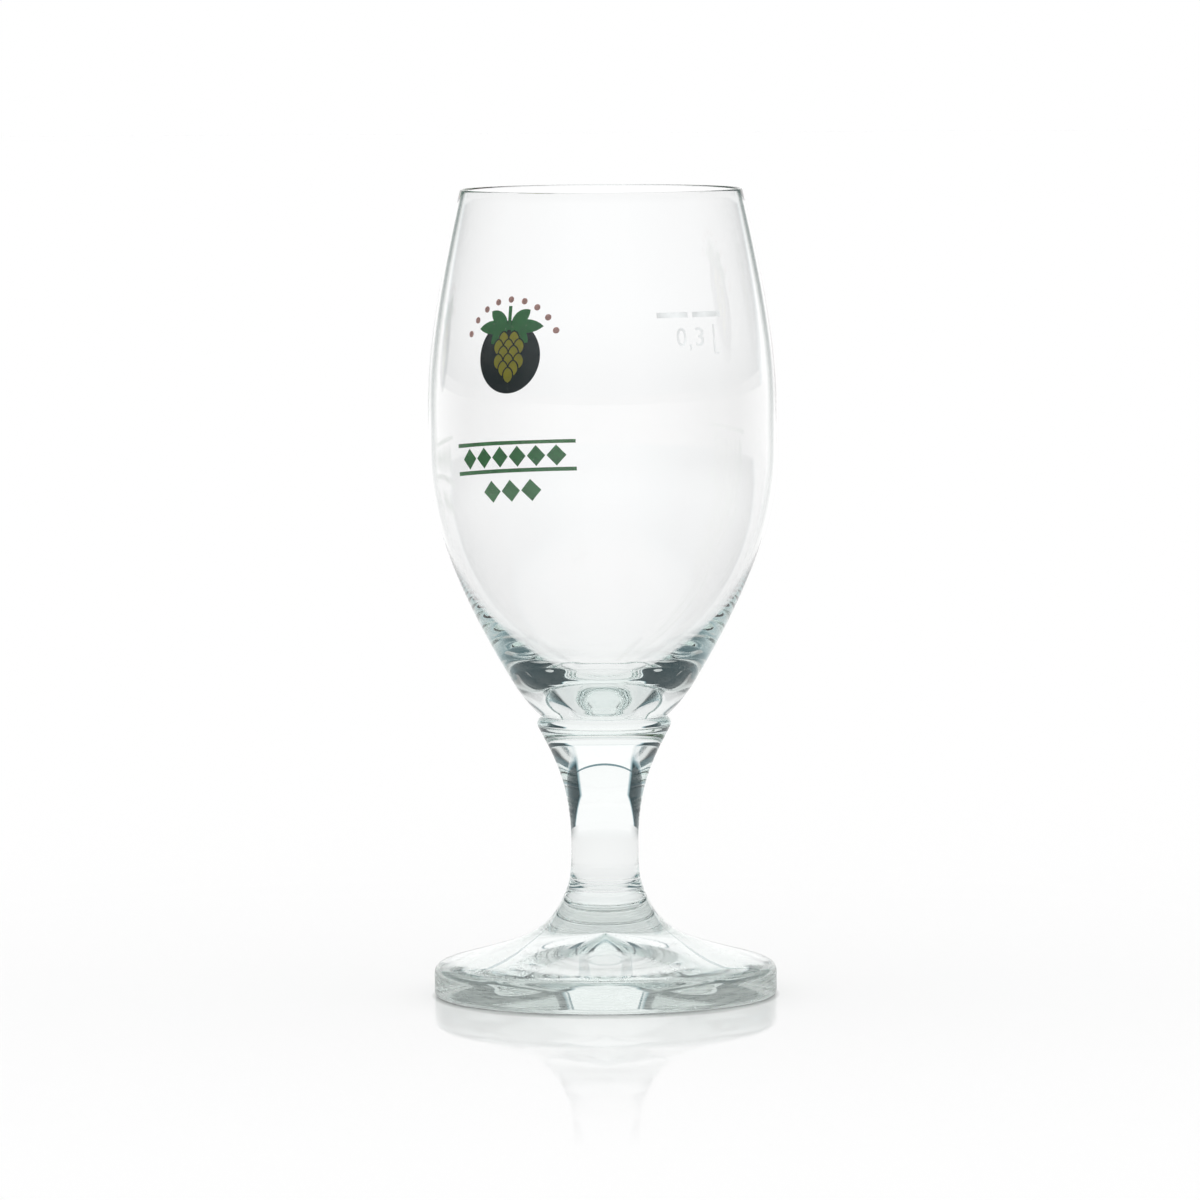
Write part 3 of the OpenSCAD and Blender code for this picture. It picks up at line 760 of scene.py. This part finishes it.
def makeWorld(s):
    world = bpy.data.worlds.new("studio")
    scene.world = world
    world.use_nodes = True
    tree = world.node_tree
    tree.nodes.clear()
    path = addNode(tree, "ShaderNodeLightPath").outputs
    direction = addNode(tree, "ShaderNodeTexCoord").outputs["Generated"]
    parts = addNode(tree, "ShaderNodeSeparateXYZ", {0: direction}).outputs
    aside = addNode(tree, "ShaderNodeMath", {0: parts["X"]}, operation="ABSOLUTE").outputs[0]
    turn = addNode(tree, "ShaderNodeMath", {0: aside, 1: parts["Y"]}, operation="ARCTAN2").outputs[0]
    turn = addNode(tree, "ShaderNodeMath", {0: turn}, operation="DEGREES").outputs[0]
    rise = addNode(tree, "ShaderNodeMath", {0: parts["Z"]}, operation="ARCSINE").outputs[0]
    rise = addNode(tree, "ShaderNodeMath", {0: rise}, operation="DEGREES").outputs[0]

    # bright wall with its gap and strip
    half = addNode(tree, "ShaderNodeMapRange", {
        "Value": rise, "From Min": s["spreadLow"], "From Max": s["spreadTop"],
        "To Min": s["wallLow"], "To Max": s["wallHalf"]}).outputs[0]
    past = addNode(tree, "ShaderNodeMath", {0: turn, 1: half}, operation="SUBTRACT").outputs[0]
    outside = addNode(tree, "ShaderNodeMapRange", {
        "Value": past, "From Min": -s["wallSoft"] / 2, "From Max": s["wallSoft"] / 2}).outputs[0]
    overGap = addNode(tree, "ShaderNodeMath", {0: rise, 1: s["gapTop"]}, operation="GREATER_THAN").outputs[0]
    inGap = addNode(tree, "ShaderNodeMath", {0: rise, 1: s["gapLow"]}, operation="GREATER_THAN").outputs[0]
    wall = addNode(tree, "ShaderNodeMix", {"Factor": inGap, 2: s["wallLight"], 3: s["gapLight"]}).outputs[0]
    wall = addNode(tree, "ShaderNodeMix", {"Factor": overGap, 2: wall, 3: s["stripLight"]}).outputs[0]

    # flags, dim corners and the front
    soft = s["flankSoft"] / 2
    side = addNode(tree, "ShaderNodeMapRange", {
        "Value": turn, "From Min": s["flankFrom"] - soft, "From Max": s["flankFrom"] + soft,
        "To Min": s["flagLight"], "To Max": s["flankLight"]}).outputs[0]
    soft = s["frontSoft"] / 2
    front = addNode(tree, "ShaderNodeMapRange", {
        "Value": turn, "From Min": s["frontFrom"] - soft, "From Max": s["frontFrom"] + soft}).outputs[0]
    side = addNode(tree, "ShaderNodeMix", {"Factor": front, 2: side, 3: s["frontLight"]}).outputs[0]
    soft = s["flagSoft"] / 2
    overFlags = addNode(tree, "ShaderNodeMapRange", {
        "Value": rise, "From Min": s["flagTop"] - soft, "From Max": s["flagTop"] + soft}).outputs[0]
    side = addNode(tree, "ShaderNodeMix", {"Factor": overFlags, 2: side, 3: s["aroundLight"]}).outputs[0]

    # gap in each flag, for rays that come straight through the glass
    toSide = addNode(tree, "ShaderNodeMath", {0: turn, 1: 90.0}, operation="SUBTRACT").outputs[0]
    toSide = addNode(tree, "ShaderNodeMath", {0: toSide}, operation="ABSOLUTE").outputs[0]
    soft = s["windowSoft"] / 2
    window = addNode(tree, "ShaderNodeMapRange", {
        "Value": toSide, "From Min": s["windowHalf"] + soft, "From Max": s["windowHalf"] - soft}).outputs[0]
    window = addNode(tree, "ShaderNodeMath", {0: window, 1: unturned(tree)}, operation="MULTIPLY").outputs[0]
    side = addNode(tree, "ShaderNodeMix", {"Factor": window, 2: side, 3: s["windowLight"]}).outputs[0]
    side = addNode(tree, "ShaderNodeMix", {
        "Factor": path["Is Reflection Ray"], 2: side, 3: s["mirrorSide"]}).outputs[0]

    light = addNode(tree, "ShaderNodeMix", {"Factor": outside, 2: wall, 3: side}).outputs[0]
    roof = addNode(tree, "ShaderNodeMapRange", {
        "Value": rise, "From Min": s["roofLow"], "From Max": s["roofLow"] + s["roofSoft"]}).outputs[0]
    light = addNode(tree, "ShaderNodeMix", {"Factor": roof, 2: light, 3: s["roofLight"]}).outputs[0]
    light = addNode(tree, "ShaderNodeMix", {
        "Factor": straightThrough(tree), 2: light, 3: s["throughBowl"]}).outputs[0]

    # only rays that the glass bends or mirrors see this pattern, all others a plain white studio
    strength = addNode(tree, "ShaderNodeMix", {
        "Factor": path["Is Singular Ray"], 2: 1.0, 3: light}).outputs[0]
    cast = addNode(tree, "ShaderNodeMix", {"Factor": strength, 6: srgb(s["flagCast"]), 7: (1, 1, 1, 1)},
                   data_type="RGBA")
    sky = addNode(tree, "ShaderNodeBackground", {"Color": cast.outputs[2], "Strength": strength})
    addNode(tree, "ShaderNodeOutputWorld", {"Surface": sky.outputs[0]})


def tableSheet(s):
    # glossy white acrylic sheet: white in itself but for a painted contact shadow at the foot, with a mirror
    # image that is strong near the foot and fades towards the front
    material = bpy.data.materials.new("whiteAcrylicSheet")
    material.use_nodes = True
    tree = material.node_tree
    tree.nodes.clear()
    path = addNode(tree, "ShaderNodeLightPath").outputs
    place = addNode(tree, "ShaderNodeTexCoord").outputs["Object"]
    away = addNode(tree, "ShaderNodeVectorMath", {0: place}, operation="LENGTH").outputs["Value"]
    ahead = addNode(tree, "ShaderNodeVectorMath", {0: place}, operation="NORMALIZE").outputs[0]
    ahead = addNode(tree, "ShaderNodeSeparateXYZ", {0: ahead}).outputs["Y"]
    squared = addNode(tree, "ShaderNodeMath", {0: ahead, 1: ahead}, operation="MULTIPLY").outputs[0]
    beside = addNode(tree, "ShaderNodeMath", {0: ahead}, operation="ABSOLUTE").outputs[0]

    # light that the glass sees from the table, near and far
    near = addNode(tree, "ShaderNodeMix", {
        "Factor": squared, 2: s["tableSide"], 3: s["tableNear"]}).outputs[0]
    behind = addNode(tree, "ShaderNodeMapRange", {
        "Value": ahead, "From Min": s["behindFrom"], "From Max": s["behindTo"],
        "To Min": s["tableFarSide"], "To Max": s["tableFar"]}).outputs[0]
    before = addNode(tree, "ShaderNodeMapRange", {
        "Value": ahead, "From Min": s["beforeFrom"], "From Max": s["beforeTo"],
        "To Min": s["tableFarSide"], "To Max": s["frontLight"]}).outputs[0]
    far = addNode(tree, "ShaderNodeMath", {0: behind, 1: before}, operation="MAXIMUM").outputs[0]
    soft = s["windowSoft"] / 2
    window = addNode(tree, "ShaderNodeMapRange", {
        "Value": beside, "From Min": math.sin(math.radians(s["windowHalf"] + soft)),
        "From Max": math.sin(math.radians(s["windowHalf"] - soft))}).outputs[0]
    window = addNode(tree, "ShaderNodeMath", {0: window, 1: unturned(tree)}, operation="MULTIPLY").outputs[0]
    far = addNode(tree, "ShaderNodeMix", {"Factor": window, 2: far, 3: s["windowLight"]}).outputs[0]
    reach = addNode(tree, "ShaderNodeMapRange", {
        "Value": away, "From Min": s["farStart"] * mm, "From Max": s["farEnd"] * mm}).outputs[0]
    light = addNode(tree, "ShaderNodeMix", {"Factor": reach, 2: near, 3: far}).outputs[0]
    under = addNode(tree, "ShaderNodeMath", {0: away, 1: glass["foot"] / 2 * mm},
                    operation="LESS_THAN").outputs[0]
    light = addNode(tree, "ShaderNodeMix", {"Factor": under, 2: light, 3: s["underFoot"]}).outputs[0]

    # the outside of the glass mirrors less of it, and through the thin bowl it is as light as the background
    first = addNode(tree, "ShaderNodeMath", {0: path["Is Reflection Ray"], 1: path["Is Singular Ray"]},
                    operation="MULTIPLY").outputs[0]
    shaded = addNode(tree, "ShaderNodeMapRange", {
        "Value": away, "From Min": s["mirrorFrom"] * mm, "From Max": s["mirrorTo"] * mm,
        "To Min": s["mirrorTable"]}).outputs[0]
    shaded = addNode(tree, "ShaderNodeMix", {"Factor": first, 2: 1.0, 3: shaded}).outputs[0]
    light = addNode(tree, "ShaderNodeMath", {0: light, 1: shaded}, operation="MULTIPLY").outputs[0]
    through = addNode(tree, "ShaderNodeMapRange", {
        "Value": away, "From Min": s["farStart"] * mm, "From Max": s["throughEnd"] * mm,
        "To Min": s["tableNear"], "To Max": s["throughBowl"]}).outputs[0]
    light = addNode(tree, "ShaderNodeMix", {"Factor": straightThrough(tree), 2: light, 3: through}).outputs[0]
    glow = addNode(tree, "ShaderNodeEmission", {"Color": (1, 1, 1, 1), "Strength": light})

    # the sheet itself, with a painted contact shadow: a dark line at the foot
    contact = addNode(tree, "ShaderNodeMix", {
        "Factor": squared, 2: s["contactSide"] * mm, 3: s["contactFront"] * mm}).outputs[0]
    past = addNode(tree, "ShaderNodeMath", {0: away, 1: (glass["foot"] / 2 - glass["edgeRound"]) * mm},
                   operation="SUBTRACT").outputs[0]
    past = addNode(tree, "ShaderNodeMath", {0: past, 1: contact}, operation="DIVIDE").outputs[0]
    shadow = addNode(tree, "ShaderNodeMapRange", {"Value": past, "To Min": s["contactShade"]}).outputs[0]
    white = addNode(tree, "ShaderNodeBsdfDiffuse", {"Color": shadow})
    gloss = addNode(tree, "ShaderNodeBsdfGlossy", {"Color": (1, 1, 1, 1), "Roughness": s["glossRoughness"]})
    share = addNode(tree, "ShaderNodeMapRange", {
        "Value": away, "From Min": s["glossNear"] * mm, "From Max": s["glossFar"] * mm,
        "To Min": s["glossShare"], "To Max": 0.0}).outputs[0]
    sheet = addNode(tree, "ShaderNodeMixShader", {0: share, 1: white.outputs[0], 2: gloss.outputs[0]})
    both = addNode(tree, "ShaderNodeMixShader", {
        0: path["Is Camera Ray"], 1: glow.outputs[0], 2: sheet.outputs[0]})
    addNode(tree, "ShaderNodeOutputMaterial", {"Surface": both.outputs[0]})
    return material


def makeTable(s):
    mesh = bpy.data.meshes.new("table")
    half = s["tableHalf"] * mm
    corners = [(-half, -half, 0), (half, -half, 0), (half, half, 0), (-half, half, 0)]
    mesh.from_pydata(corners, [], [(0, 1, 2, 3)])
    table = bpy.data.objects.new("table", mesh)
    scene.collection.objects.link(table)
    mesh.materials.append(tableSheet(s))


makeWorld(studio)
makeTable(studio)
scene.view_settings.view_transform = "Standard"
scene.cycles.max_bounces = studio["bounces"]
scene.cycles.transmission_bounces = studio["bounces"]
scene.cycles.glossy_bounces = studio["bounces"]
print("studio lit")
